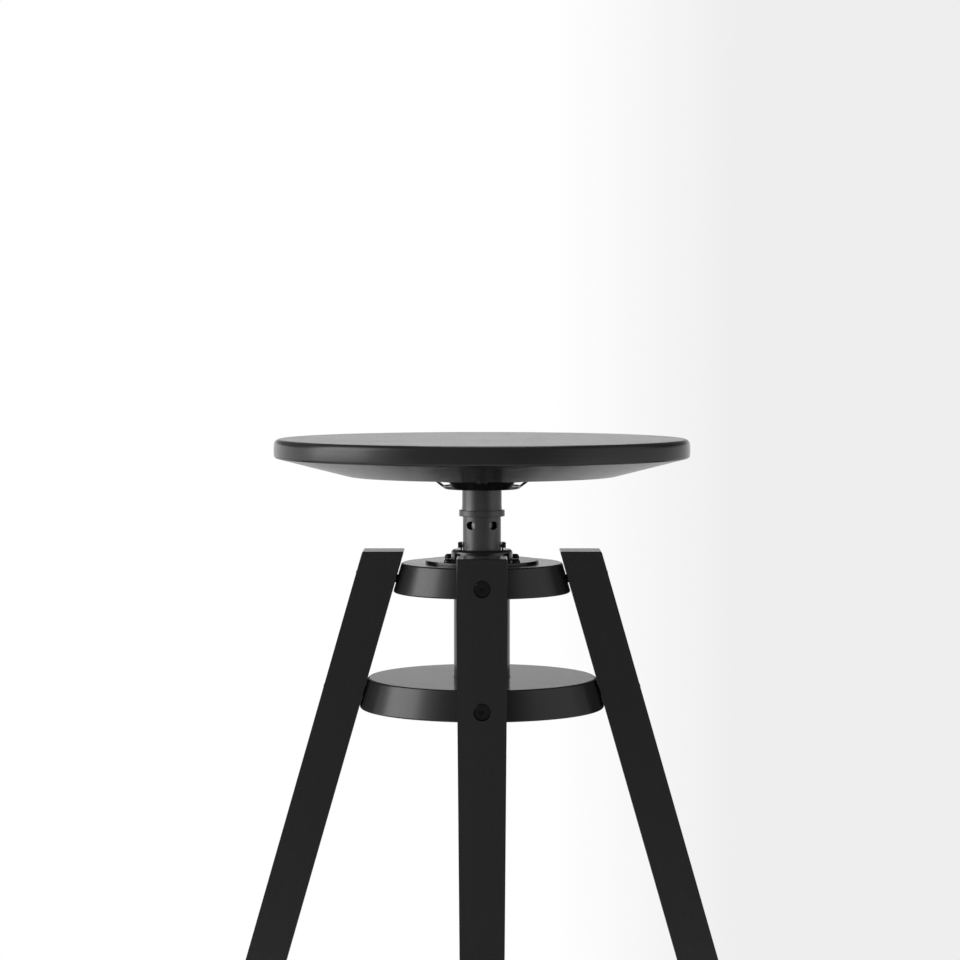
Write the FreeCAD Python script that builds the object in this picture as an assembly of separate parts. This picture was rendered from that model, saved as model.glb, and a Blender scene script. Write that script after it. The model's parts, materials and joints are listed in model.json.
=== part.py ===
import FreeCAD, Part
import math
import os

# Height adjustable stool: a round seat on a screw spindle, carried by two round discs and four splayed legs.
# Millimetres. +Z is up, the floor is Z = 0, the screw axis is the Z axis and the front leg stands at -Y.

# Clearances and overruns shared by many pieces
press_clearance = 0.05
running_clearance = 0.06
bush_play = 0.1
free_gap = 0.3
cut_overrun = 5.0

# Legs
leg_above_disc = 9.0
leg_inner_top = 56.1
leg_depth = 29.8
leg_lean_deg = 16.03
leg_width_top = 35.3
leg_width_foot = 23.7
leg_taper_below_disc = 7.5
leg_edge_radius = 1.0
leg_names = ("front", "right", "back", "left")
leg_azimuths_deg = (-90.0, 0.0, 90.0, 180.0)

# Foot glides
glide_radius = 9.0
glide_thickness = 3.0
glide_rounding = 0.8
glide_stem_radius = 2.5
glide_stem_length = 14.0

# Discs that hold the legs
upper_disc_bottom_z = 538.5
upper_disc_thickness = 21.3
lower_disc_bottom_z = 455.15
lower_disc_thickness = 21.65
disc_flat_depth = 0.5
disc_rounding = 1.0

# Bolts that hold the legs to the discs and to the footrest
bolt_radius = 3.0
bolt_head_radius = 5.7
bolt_head_height = 6.0
bolt_head_rounding = 0.6
bolt_socket_across = 4.0
bolt_socket_depth = 3.0
bolt_reach = 20.0
bolt_head_sink = 0.8
counterbore_gap = 0.25
bolt_hole_gap = 0.25
upper_bolt_below_middle = 0.9
insert_radius = 5.0
insert_length = 22.0
insert_inset = 1.8

# Footrest hoop
footrest_z = 215.0
footrest_bar_radius = 6.0
footrest_standoff = 15.0
footrest_boss_radius = 7.0
footrest_bolt_past_bar = 1.0
footrest_hole_spare = 1.0

# Housing: tube, mounting plate and cap
tube_radius = 20.3
tube_wall = 1.55
tube_lip_thickness = 2.0
lip_hole_gap = 0.6
tube_above_plate = 3.6
tube_hole_gap = 0.25
plate_radius = 41.0
plate_thickness = 2.0
plate_rounding = 0.3
cap_radius = 22.2
cap_height = 7.8
cap_rounding = 2.6

# Wood screws, the same kind in the mounting plate and in the seat plate
screw_head_radius = 3.9
screw_head_height = 2.4
screw_head_rounding = 1.4
screw_radius = 2.0
screw_length = 16.0
screw_point_length = 3.5
screw_recess_width = 0.9
screw_recess_span = 4.4
screw_recess_depth = 1.3
screw_hole_spare = 0.5
flange_screw_ring = 33.0

# Guide bush
bush_neck_radius = 17.3
lug_radial = 3.0
lug_radius = 2.0
lug_height = 4.8
lug_foot_radial = 1.2
lug_foot_width = 2.6
lug_azimuths_deg = (0.0, 180.0)

# Screw thread of the spindle and its nut
thread_lead = 5.0
thread_core_radius = 11.6
thread_crest_radius = 13.3
thread_root_width = 2.9
thread_crest_width = 1.6
thread_sink = 0.3
thread_clearance = 0.2
nut_height = 16.0
nut_thread_margin = 1.5
nut_thread_play = 0.5

# Travel of the seat from the photographed height
travel_down = 19.0
travel_up = 91.5
thread_spare = 0.6

# Spindle tube and its stop collar
spindle_upper_radius = 14.25
spindle_flare_radius = 14.5
spindle_flare_height = 4.0
spindle_lower_radius = 13.75
spindle_bore_radius = 10.6
spindle_upper_length = 15.3
collar_radius = 16.5
collar_height = 4.4
collar_rounding = 0.4
cross_hole_radius = 3.05
cross_hole_below_collar = 6.3
cross_hole_offset = 8.05

# End stop under the spindle
stop_washer_radius = 16.0
stop_washer_thickness = 3.0
stop_screw_radius = 4.0
stop_screw_length = 20.0
stop_screw_head_across = 13.0
stop_screw_head_height = 5.3

# Seat plate: a pressed steel dish with two windows at each side and a rim for the screws
dish_thickness = 1.8
dish_floor_radius = 26.9
dish_shoulder_radius = 36.9
dish_rim_width = 10.5
dish_depth = 9.6
dish_rounding = 1.5
window_low = 2.3
window_high = 5.7
window_inner_radius = 24.0
window_half_deg = 18.5
window_off_side_deg = 28.0
hub_radius = 22.0
hub_weld_gap = 2.0

# Seat
seat_radius = 150.0
seat_thickness = 26.6
seat_flat_radius = 97.5
seat_bevel_height = 13.4
seat_top_rounding = 4.0
seat_lower_rounding = 1.8
seat_flat_rounding = 4.0

# Heights that follow from the sizes above
lean = math.tan(math.radians(leg_lean_deg))
upper_disc_top_z = upper_disc_bottom_z + upper_disc_thickness
leg_top_z = upper_disc_top_z + leg_above_disc
leg_taper_z = upper_disc_bottom_z - leg_taper_below_disc
upper_bolt_z = upper_disc_bottom_z + upper_disc_thickness / 2 - upper_bolt_below_middle
lower_bolt_z = lower_disc_bottom_z + lower_disc_thickness / 2
plate_top_z = upper_disc_top_z + plate_thickness
tube_top_z = plate_top_z + tube_above_plate
tube_bottom_z = lower_disc_bottom_z
tube_inner_radius = tube_radius - tube_wall
cap_top_z = plate_top_z + cap_height
lug_top_z = cap_top_z + lug_height
nut_bottom_z = tube_bottom_z + tube_lip_thickness
nut_top_z = nut_bottom_z + nut_height
bush_bottom_z = nut_top_z + free_gap
collar_bottom_z = lug_top_z + travel_down
collar_top_z = collar_bottom_z + collar_height
spindle_bottom_z = nut_top_z + travel_down + thread_spare
dish_bottom_z = collar_top_z + spindle_upper_length
seat_bottom_z = dish_bottom_z + dish_depth
seat_top_z = seat_bottom_z + seat_thickness
hub_bottom_z = dish_bottom_z + dish_thickness
dish_rim_radius = dish_shoulder_radius + dish_rim_width
seat_screw_ring = dish_shoulder_radius + dish_rim_width / 2
spindle_top_z = seat_bottom_z - hub_weld_gap
screw_bottom_z = tube_bottom_z - travel_up
lip_hole_radius = thread_crest_radius + lip_hole_gap

V = FreeCAD.Vector
up = V(0, 0, 1)
outward = V(1, 0, 0)
centre = V(0, 0, 0)
quarter_turns_deg = (0.0, 90.0, 180.0, 270.0)
corner_turns_deg = (45.0, 135.0, 225.0, 315.0)
quarter_turn_deg = 90.0
half_turn_deg = 180.0
full_turn_deg = 360.0
window_turns_deg = (
    window_off_side_deg,
    half_turn_deg - window_off_side_deg,
    half_turn_deg + window_off_side_deg,
    full_turn_deg - window_off_side_deg,
)
hexagon_sides = 6


def leg_inner(z):
    return leg_inner_top + (leg_top_z - z) * lean


def leg_outer(z):
    return leg_inner(z) + leg_depth


def post(radius, low, high):
    return Part.makeCylinder(radius, high - low, V(0, 0, low), up)


def ring(outer_radius, inner_radius, low, high):
    bore = post(inner_radius, low - cut_overrun, high + cut_overrun)
    return post(outer_radius, low, high).cut(bore)


def spoke(radius, inner_end, outer_end, z):
    return Part.makeCylinder(radius, outer_end - inner_end, V(inner_end, 0, z), outward)


def prism(points, depth_vector):
    return Part.Face(Part.makePolygon(points + points[:1])).extrude(depth_vector)


def turned(outline, sweep_deg=full_turn_deg):
    points = [V(radius, 0, z) for radius, z in outline]
    return Part.Face(Part.makePolygon(points + points[:1])).revolve(centre, up, sweep_deg)


def swung(shape, azimuth_deg):
    copy = shape.copy()
    copy.rotate(centre, up, azimuth_deg)
    return copy


def all_swung(shape, azimuths_deg):
    return [swung(shape, azimuth) for azimuth in azimuths_deg]


def moved(shape, x, y, z):
    copy = shape.copy()
    copy.translate(V(x, y, z))
    return copy


def on_ring(shape, ring_radius, z, azimuths_deg):
    return all_swung(moved(shape, ring_radius, 0, z), azimuths_deg)


def rim_edges(shape, radius, z):
    """Circular edges about the Z axis with the given radius and height."""
    slack = press_clearance
    found = []
    for edge in shape.Edges:
        curve = edge.Curve
        if not isinstance(curve, Part.Circle):
            continue
        on_axis = math.hypot(curve.Center.x, curve.Center.y) < slack
        if on_axis and abs(curve.Radius - radius) < slack and abs(curve.Center.z - z) < slack:
            found.append(edge)
    return found


def cut_all(shape, tools):
    for tool in tools:
        shape = shape.cut(tool)
    return shape


def hexagon(across_flats, low, high):
    """A six sided prism about the Z axis."""
    step = math.radians(full_turn_deg / hexagon_sides)
    corner_radius = across_flats / 2 / math.cos(step / 2)
    angles = [step * side for side in range(hexagon_sides)]
    points = [V(corner_radius * math.cos(a), corner_radius * math.sin(a), low) for a in angles]
    return prism(points, V(0, 0, high - low))


def thread_ridge(base_radius, tip_radius, base_width, tip_width, sink, low, length):
    """One helical ridge: its base is sunk below base_radius, so that it joins the wall that carries it."""
    buried = base_radius - math.copysign(sink, tip_radius - base_radius)
    outline = [
        V(buried, 0, -base_width / 2),
        V(tip_radius, 0, -tip_width / 2),
        V(tip_radius, 0, tip_width / 2),
        V(buried, 0, base_width / 2),
    ]
    profile = Part.Wire(Part.makePolygon(outline + outline[:1]).Edges)
    path = Part.Wire(Part.makeHelix(thread_lead, length, base_radius).Edges)
    ridge = path.makePipeShell([profile], True, True)
    ridge.translate(V(0, 0, low))
    return ridge


# Fasteners

def wood_screw():
    """Pan head above Z = 0 and shank below it."""
    head = post(screw_head_radius, 0, screw_head_height)
    head = head.makeFillet(screw_head_rounding, rim_edges(head, screw_head_radius, screw_head_height))
    half_span = screw_recess_span / 2
    half_width = screw_recess_width / 2
    slot = Part.makeBox(
        screw_recess_span,
        screw_recess_width,
        screw_recess_depth + cut_overrun,
        V(-half_span, -half_width, screw_head_height - screw_recess_depth),
    )
    head = head.cut(slot).cut(swung(slot, quarter_turn_deg))
    body_end = screw_point_length - screw_length
    point_outline = [(0, -screw_length), (screw_radius, body_end), (screw_radius, 0), (0, 0)]
    return head.fuse(turned(point_outline)).removeSplitter()


def socket_bolt(shank_length):
    """Lies along X: head seat at X = 0, head outwards, shank inwards."""
    head = spoke(bolt_head_radius, 0, bolt_head_height, 0)
    circles = [edge for edge in head.Edges if isinstance(edge.Curve, Part.Circle)]
    crown = [edge for edge in circles if abs(edge.Curve.Center.x - bolt_head_height) < press_clearance]
    head = head.makeFillet(bolt_head_rounding, crown)
    socket = hexagon(bolt_socket_across, bolt_head_height - bolt_socket_depth, bolt_head_height + cut_overrun)
    socket.rotate(centre, V(0, 1, 0), quarter_turn_deg)
    return head.cut(socket).fuse(spoke(bolt_radius, -shank_length, 0, 0)).removeSplitter()


def bolt_seat(z):
    """Radius of the face that a leg bolt's head rests on."""
    return leg_outer(z) - bolt_head_sink - bolt_head_height


def leg_bolts(z, tip_radius_from_axis):
    seat = bolt_seat(z)
    bolt = moved(socket_bolt(seat - tip_radius_from_axis), seat, 0, z)
    return all_swung(bolt, leg_azimuths_deg)


# Base

def leg_blank():
    """A leg at azimuth 0, before its edges are rounded and its holes are drilled."""
    low = glide_thickness
    side = [
        V(leg_inner(leg_top_z), -leg_width_top, leg_top_z),
        V(leg_outer(leg_top_z), -leg_width_top, leg_top_z),
        V(leg_outer(low), -leg_width_top, low),
        V(leg_inner(low), -leg_width_top, low),
    ]
    half_top = leg_width_top / 2
    half_foot = leg_width_foot / 2
    face = [
        V(0, -half_top, leg_top_z),
        V(0, half_top, leg_top_z),
        V(0, half_top, leg_taper_z),
        V(0, half_foot, low),
        V(0, -half_foot, low),
        V(0, -half_top, leg_taper_z),
    ]
    return prism(side, V(0, leg_width_top * 2, 0)).common(prism(face, V(leg_outer(0) + cut_overrun, 0, 0)))


def leg():
    blank = leg_blank()
    rounded = []
    for edge in blank.Edges:
        heights = [vertex.Z for vertex in edge.Vertexes]
        on_top = min(heights) > leg_top_z - press_clearance
        if on_top or max(heights) - min(heights) > leg_edge_radius:
            rounded.append(edge)
    shape = blank.makeFillet(leg_edge_radius, rounded)
    for z in (upper_bolt_z, lower_bolt_z, footrest_z):
        seat = bolt_seat(z)
        inner_end = leg_inner(z) - cut_overrun
        shape = shape.cut(spoke(bolt_radius + bolt_hole_gap, inner_end, seat + cut_overrun, z))
        shape = shape.cut(spoke(bolt_head_radius + counterbore_gap, seat, leg_outer(z) + cut_overrun, z))
    foot_middle = (leg_inner(glide_thickness) + leg_outer(glide_thickness)) / 2
    stem_top = glide_thickness + glide_stem_length + screw_hole_spare
    stem_hole = moved(post(glide_stem_radius + press_clearance, -cut_overrun, stem_top), foot_middle, 0, 0)
    return shape.cut(stem_hole)


def foot_glide():
    pad = post(glide_radius, 0, glide_thickness)
    pad = pad.makeFillet(glide_rounding, rim_edges(pad, glide_radius, 0))
    stem = post(glide_stem_radius, 0, glide_thickness + glide_stem_length)
    foot_middle = (leg_inner(glide_thickness) + leg_outer(glide_thickness)) / 2
    return moved(pad.fuse(stem).removeSplitter(), foot_middle, 0, 0)


def disc_insert(z):
    outer_end = leg_inner(z) - insert_inset
    inner_end = outer_end - insert_length
    body = spoke(insert_radius, inner_end, outer_end, z)
    bore = spoke(bolt_radius + press_clearance, inner_end - cut_overrun, outer_end + cut_overrun, z)
    return body.cut(bore)


def leg_disc(bottom_z, thickness, bolt_z, legs):
    top_z = bottom_z + thickness
    bottom_radius = leg_inner(bottom_z) + disc_flat_depth
    top_radius = leg_inner(top_z) + disc_flat_depth
    disc = Part.makeCone(bottom_radius, top_radius, thickness, V(0, 0, bottom_z), up)
    rims = rim_edges(disc, bottom_radius, bottom_z) + rim_edges(disc, top_radius, top_z)
    disc = disc.makeFillet(disc_rounding, rims)
    disc = disc.cut(post(tube_radius + tube_hole_gap, bottom_z - cut_overrun, top_z + cut_overrun))
    disc = cut_all(disc, legs)
    outer_end = leg_inner(bolt_z) + cut_overrun
    inner_end = leg_inner(bolt_z) - insert_inset - insert_length
    pocket = spoke(insert_radius + press_clearance, inner_end, outer_end, bolt_z)
    return cut_all(disc, all_swung(pocket, quarter_turns_deg))


def screw_hole(low, high):
    return post(screw_radius + press_clearance, low, high)


def flange_screw_holes():
    hole = screw_hole(plate_top_z - screw_length - screw_hole_spare, plate_top_z + cut_overrun)
    return on_ring(hole, flange_screw_ring, 0, corner_turns_deg)


def seat_screw_holes():
    rim_z = seat_bottom_z - dish_thickness
    hole = screw_hole(rim_z - cut_overrun, rim_z + screw_length + screw_hole_spare)
    return on_ring(hole, seat_screw_ring, 0, quarter_turns_deg)


def footrest_hoop(legs):
    ring_radius = leg_inner(footrest_z) - footrest_standoff
    hoop = Part.makeTorus(ring_radius, footrest_bar_radius, V(0, 0, footrest_z), up)
    boss = spoke(footrest_boss_radius, ring_radius, leg_inner(footrest_z) + cut_overrun, footrest_z)
    for piece in all_swung(boss, quarter_turns_deg):
        hoop = hoop.fuse(piece)
    hoop = cut_all(hoop, legs)
    hole_end = ring_radius - footrest_bolt_past_bar - footrest_hole_spare
    hole = spoke(bolt_radius + press_clearance, hole_end, leg_outer(footrest_z), footrest_z)
    return cut_all(hoop, all_swung(hole, quarter_turns_deg))


# Housing

def housing_tube():
    tube = ring(tube_radius, tube_inner_radius, tube_bottom_z + tube_lip_thickness, tube_top_z)
    lip = ring(tube_radius, lip_hole_radius, tube_bottom_z, tube_bottom_z + tube_lip_thickness)
    return tube.fuse(lip).removeSplitter()


def mounting_plate():
    plate = post(plate_radius, upper_disc_top_z, plate_top_z)
    plate = plate.makeFillet(plate_rounding, rim_edges(plate, plate_radius, plate_top_z))
    bore = post(tube_radius + press_clearance, upper_disc_top_z - cut_overrun, plate_top_z + cut_overrun)
    return cut_all(plate.cut(bore), flange_screw_holes())


def housing_cap():
    lip_radius = bush_neck_radius + free_gap
    cap = post(cap_radius, plate_top_z, cap_top_z)
    cap = cap.makeFillet(cap_rounding, rim_edges(cap, cap_radius, cap_top_z))
    tube_space = post(tube_radius + press_clearance, plate_top_z - cut_overrun, tube_top_z)
    return cap.cut(tube_space).cut(post(lip_radius, plate_top_z, cap_top_z + cut_overrun))


def spindle_nut():
    bore_radius = thread_crest_radius + thread_clearance
    body = ring(tube_inner_radius - press_clearance, bore_radius, nut_bottom_z, nut_top_z)
    tip_radius = thread_core_radius + thread_clearance
    groove_at_bore = thread_lead - thread_crest_width
    groove_at_tip = thread_lead - thread_root_width
    first_groove = screw_thread_start() + thread_lead / 2
    turns_up = math.ceil((nut_bottom_z + nut_thread_margin + thread_lead / 2 - first_groove) / thread_lead)
    low = first_groove + turns_up * thread_lead
    length = nut_top_z - nut_thread_margin - thread_lead / 2 - low
    ridge = thread_ridge(
        bore_radius,
        tip_radius,
        groove_at_bore - nut_thread_play,
        groove_at_tip - nut_thread_play,
        thread_sink,
        low,
        length,
    )
    return body.fuse(ridge)


def guide_bush():
    sleeve = post(tube_inner_radius - bush_play, bush_bottom_z, tube_top_z - free_gap)
    neck = post(bush_neck_radius, bush_bottom_z, cap_top_z)
    body = sleeve.fuse(neck).removeSplitter()
    lug_z = lug_top_z - lug_radius
    lug_inner = bush_neck_radius - lug_radial
    foot_low = cap_top_z - lug_foot_radial
    foot_corner = V(lug_inner, -lug_foot_width / 2, foot_low)
    foot = Part.makeBox(lug_foot_radial, lug_foot_width, lug_z - foot_low, foot_corner)
    lug = spoke(lug_radius, lug_inner, bush_neck_radius, lug_z).fuse(foot).removeSplitter()
    for piece in all_swung(lug, lug_azimuths_deg):
        body = body.fuse(piece)
    bore_radius = spindle_lower_radius + running_clearance
    return body.cut(post(bore_radius, bush_bottom_z - cut_overrun, lug_top_z + cut_overrun))


# Seat and spindle

def seat():
    outline = [
        (0, seat_bottom_z),
        (seat_flat_radius, seat_bottom_z),
        (seat_radius, seat_bottom_z + seat_bevel_height),
        (seat_radius, seat_top_z),
        (0, seat_top_z),
    ]
    board = turned(outline)
    rim_low_z = seat_bottom_z + seat_bevel_height
    board = board.makeFillet(seat_top_rounding, rim_edges(board, seat_radius, seat_top_z))
    board = board.makeFillet(seat_lower_rounding, rim_edges(board, seat_radius, rim_low_z))
    board = board.makeFillet(seat_flat_rounding, rim_edges(board, seat_flat_radius, seat_bottom_z))
    return cut_all(board, seat_screw_holes())


def seat_plate():
    shoulder_z = seat_bottom_z - dish_thickness
    hole_radius = spindle_upper_radius + press_clearance
    dish = turned([
        (hole_radius, dish_bottom_z),
        (dish_floor_radius, dish_bottom_z),
        (dish_shoulder_radius, shoulder_z),
        (dish_rim_radius, shoulder_z),
        (dish_rim_radius, seat_bottom_z),
        (dish_shoulder_radius, seat_bottom_z),
        (dish_floor_radius, hub_bottom_z),
        (hole_radius, hub_bottom_z),
    ])
    dish = dish.makeFillet(dish_rounding, rim_edges(dish, dish_floor_radius, dish_bottom_z))
    window = turned([
        (window_inner_radius, dish_bottom_z + window_low),
        (dish_rim_radius, dish_bottom_z + window_low),
        (dish_rim_radius, dish_bottom_z + window_high),
        (window_inner_radius, dish_bottom_z + window_high),
    ], window_half_deg * 2)
    dish = cut_all(dish, all_swung(window, [middle - window_half_deg for middle in window_turns_deg]))
    return cut_all(dish, seat_screw_holes())


def seat_hub():
    return ring(hub_radius, spindle_upper_radius + press_clearance, hub_bottom_z, seat_bottom_z)


def spindle_tube():
    tube = turned([
        (spindle_bore_radius, spindle_bottom_z),
        (spindle_lower_radius, spindle_bottom_z),
        (spindle_lower_radius, collar_top_z),
        (spindle_flare_radius, collar_top_z),
        (spindle_upper_radius, collar_top_z + spindle_flare_height),
        (spindle_upper_radius, spindle_top_z),
        (spindle_bore_radius, spindle_top_z),
    ])
    hole_z = collar_bottom_z - cross_hole_below_collar
    reach = spindle_lower_radius + cut_overrun
    for offset in (-cross_hole_offset, cross_hole_offset):
        hole = Part.makeCylinder(cross_hole_radius, reach * 2, V(offset, -reach, hole_z), V(0, 1, 0))
        tube = tube.cut(hole)
    return tube


def stop_collar():
    body = ring(collar_radius, spindle_lower_radius + press_clearance, collar_bottom_z, collar_top_z)
    rims = rim_edges(body, collar_radius, collar_bottom_z) + rim_edges(body, collar_radius, collar_top_z)
    return body.makeFillet(collar_rounding, rims)


def screw_thread_start():
    return screw_bottom_z + thread_root_width / 2 + thread_spare


def spindle_screw():
    core = post(thread_core_radius, screw_bottom_z, spindle_bottom_z)
    length = spindle_bottom_z - thread_root_width / 2 - thread_spare - screw_thread_start()
    ridge = thread_ridge(
        thread_core_radius,
        thread_crest_radius,
        thread_root_width,
        thread_crest_width,
        thread_sink,
        screw_thread_start(),
        length,
    )
    spigot = post(spindle_bore_radius - press_clearance, spindle_bottom_z, collar_top_z)
    hole_top = screw_bottom_z + stop_screw_length + screw_hole_spare
    tapped = post(stop_screw_radius + press_clearance, screw_bottom_z - cut_overrun, hole_top)
    return core.fuse(ridge).fuse(spigot).cut(tapped)


def end_stop_washer():
    low = screw_bottom_z - stop_washer_thickness
    return ring(stop_washer_radius, stop_screw_radius + press_clearance, low, screw_bottom_z)


def end_stop_screw():
    head_top = screw_bottom_z - stop_washer_thickness
    head = hexagon(stop_screw_head_across, head_top - stop_screw_head_height, head_top)
    shank = post(stop_screw_radius, head_top, head_top + stop_washer_thickness + stop_screw_length)
    return head.fuse(shank).removeSplitter()


def build_nodes():
    nodes = {}
    blanks = all_swung(leg_blank(), leg_azimuths_deg)
    for name, azimuth in zip(leg_names, leg_azimuths_deg):
        nodes["leg_" + name] = swung(leg(), azimuth)
        nodes["foot_glide_" + name] = swung(foot_glide(), azimuth)

    upper = leg_disc(upper_disc_bottom_z, upper_disc_thickness, upper_bolt_z, blanks)
    nodes["upper_disc"] = cut_all(upper, flange_screw_holes())
    nodes["lower_disc"] = leg_disc(lower_disc_bottom_z, lower_disc_thickness, lower_bolt_z, blanks)
    for name, z in (("upper", upper_bolt_z), ("lower", lower_bolt_z)):
        nodes["disc_inserts_" + name] = Part.makeCompound(all_swung(disc_insert(z), leg_azimuths_deg))
        nodes["leg_bolts_" + name] = Part.makeCompound(leg_bolts(z, leg_inner(z) - bolt_reach))
    nodes["footrest_hoop"] = footrest_hoop(blanks)
    footrest_tip = leg_inner(footrest_z) - footrest_standoff - footrest_bolt_past_bar
    nodes["footrest_bolts"] = Part.makeCompound(leg_bolts(footrest_z, footrest_tip))

    nodes["housing_tube"] = housing_tube()
    nodes["mounting_plate"] = mounting_plate()
    nodes["housing_cap"] = housing_cap()
    nodes["spindle_nut"] = spindle_nut()
    screw = wood_screw()
    flange_screws = on_ring(screw, flange_screw_ring, plate_top_z, corner_turns_deg)
    nodes["flange_screws"] = Part.makeCompound(flange_screws)
    nodes["guide_bush"] = guide_bush()

    nodes["seat"] = seat()
    nodes["seat_plate"] = seat_plate()
    nodes["seat_hub"] = seat_hub()
    upturned = screw.copy()
    upturned.rotate(centre, outward, half_turn_deg)
    rim_z = seat_bottom_z - dish_thickness
    nodes["seat_screws"] = Part.makeCompound(on_ring(upturned, seat_screw_ring, rim_z, quarter_turns_deg))
    nodes["spindle_tube"] = spindle_tube()
    nodes["stop_collar"] = stop_collar()
    nodes["spindle_screw"] = spindle_screw()
    nodes["end_stop_washer"] = end_stop_washer()
    nodes["end_stop_screw"] = end_stop_screw()
    return nodes


os.makedirs("parts", exist_ok=True)
for node_name, node_shape in build_nodes().items():
    state = "valid" if node_shape.isValid() else "NOT VALID"
    print(node_name, state, len(node_shape.Solids), "solids", round(node_shape.Volume), "mm3")
    node_shape.exportStep("parts/" + node_name + ".step")
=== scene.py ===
import json
import math

import bmesh
import bpy
from mathutils import Matrix, Vector


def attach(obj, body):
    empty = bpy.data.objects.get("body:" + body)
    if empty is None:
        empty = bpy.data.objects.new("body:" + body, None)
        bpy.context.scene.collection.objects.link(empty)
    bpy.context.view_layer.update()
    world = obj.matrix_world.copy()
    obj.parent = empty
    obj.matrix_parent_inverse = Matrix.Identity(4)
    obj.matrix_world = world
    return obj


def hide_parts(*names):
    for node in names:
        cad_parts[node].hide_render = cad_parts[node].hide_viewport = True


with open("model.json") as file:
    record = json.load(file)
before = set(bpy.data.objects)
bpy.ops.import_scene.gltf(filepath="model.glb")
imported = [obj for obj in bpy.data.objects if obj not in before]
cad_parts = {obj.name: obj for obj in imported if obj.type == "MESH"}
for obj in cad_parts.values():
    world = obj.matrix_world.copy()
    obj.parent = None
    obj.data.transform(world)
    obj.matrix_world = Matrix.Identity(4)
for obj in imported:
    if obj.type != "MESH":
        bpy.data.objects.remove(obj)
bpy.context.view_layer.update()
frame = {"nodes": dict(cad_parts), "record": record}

scene = bpy.context.scene
nodes = frame["nodes"]
print("frame loaded:", len(nodes), "nodes")

mm = 0.001
tiny = 1e-6
upward = Vector((0.0, 0.0, 1.0))
quarterTurns = [math.radians(90.0 * step) for step in range(4)]
grainAlongX = Matrix(((0, 1, 0), (0, 0, 1), (1, 0, 0)))


def link(obj):
    scene.collection.objects.link(obj)
    return obj


def meshObject(name, mesh):
    return link(bpy.data.objects.new(name, mesh))


# Mesh helpers, in millimetres until meshFrom scales them

def roundedOutline(corners, closed=False, arcSteps=5, holdOfRounding=0.25, holdOfRoom=0.3):
    # corners are (radius, height, rounding), and every rounded corner becomes an arc
    count = len(corners)
    spots = [Vector(corner[:2]) for corner in corners]
    halves, tangents = [], []
    for index, here in enumerate(spots):
        half = tangent = 0.0
        atEnd = not closed and index in (0, count - 1)
        if corners[index][2] > 0.0 and not atEnd:
            half = (spots[index - 1] - here).angle(spots[(index + 1) % count] - here) / 2.0
            tangent = corners[index][2] / math.tan(half)
        halves.append(half)
        tangents.append(tangent)
    points = []
    for index, here in enumerate(spots):
        half, tangent, rounding = halves[index], tangents[index], corners[index][2]
        if tangent == 0.0:
            points.append(here)
            continue
        sides = []  # the way along each side, and how far past the arc one more point holds it flat
        for other in (index - 1, (index + 1) % count):
            side = spots[other] - here
            room = max(side.length - tangent - tangents[other], 0.0)
            sides.append((side.normalized(), min(holdOfRounding * rounding, room * holdOfRoom)))
        (toBefore, holdBefore), (toAfter, holdAfter) = sides
        middle = here + (toBefore + toAfter).normalized() * (rounding / math.sin(half))
        first = here + toBefore * tangent - middle
        last = here + toAfter * tangent - middle
        sweep = math.atan2(first.x * last.y - first.y * last.x, first.dot(last))
        if holdBefore > 0.0:
            points.append(here + toBefore * (tangent + holdBefore))
        for step in range(arcSteps + 1):
            turn = sweep * step / arcSteps
            points.append(middle + Vector((
                first.x * math.cos(turn) - first.y * math.sin(turn),
                first.x * math.sin(turn) + first.y * math.cos(turn),
            )))
        if holdAfter > 0.0:
            points.append(here + toAfter * (tangent + holdAfter))
    return points


def ringOf(reachAt, height, segments):
    # a ring of points round Z, each as far out as its angle asks for
    ring = []
    for step in range(segments):
        angle = 2.0 * math.pi * step / segments
        reach = reachAt(angle)
        ring.append(Vector((reach * math.cos(angle), reach * math.sin(angle), height)))
    return ring


def circleRing(radius, height, segments):
    if radius < tiny:
        return [Vector((0.0, 0.0, height))]
    return ringOf(lambda angle: radius, height, segments)


def fromNearestOf(sides, angle):
    # the angle from the middle of the nearest of equal sides
    share = 2.0 * math.pi / sides
    return (angle + share / 2.0) % share - share / 2.0


def polygonRing(acrossFlats, sides, height, segments):
    def reachAt(angle):
        return acrossFlats / 2.0 / math.cos(fromNearestOf(sides, angle))
    return ringOf(reachAt, height, segments)


def crossRing(span, width, height, segments):
    def reachAt(angle):
        fromArm = fromNearestOf(4, angle)
        reach = span / 2.0 / math.cos(fromArm)
        if abs(fromArm) > tiny:
            reach = min(reach, width / 2.0 / abs(math.sin(fromArm)))
        return reach
    return ringOf(reachAt, height, segments)


def skinRings(shape, rings, closed=False):
    # joins each ring to the next one, and a ring may be a single point
    made = [[shape.verts.new(point) for point in ring] for ring in rings]
    following = made[1:] + (made[:1] if closed else [])
    for low, high in zip(made, following):
        size = max(len(low), len(high))
        for step in range(size):
            after = (step + 1) % size
            corners = (
                low[step % len(low)], low[after % len(low)],
                high[after % len(high)], high[step % len(high)],
            )
            unique = list(dict.fromkeys(corners))
            if len(unique) > 2:
                shape.faces.new(unique)


def bakedMesh(shape, name):
    mesh = bpy.data.meshes.new(name)
    shape.to_mesh(mesh)
    shape.free()
    return mesh


def shadeSmooth(mesh, sharpDegrees):
    for face in mesh.polygons:
        face.use_smooth = True
    mesh.set_sharp_from_angle(angle=math.radians(sharpDegrees))


def meshFrom(shape, name, sharpDegrees=32.0, mergeDistance=1e-4):
    bmesh.ops.remove_doubles(shape, verts=shape.verts, dist=mergeDistance)
    bmesh.ops.recalc_face_normals(shape, faces=shape.faces)
    bmesh.ops.scale(shape, vec=(mm, mm, mm), verts=shape.verts)
    mesh = bakedMesh(shape, name)
    shadeSmooth(mesh, sharpDegrees)
    return mesh


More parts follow.
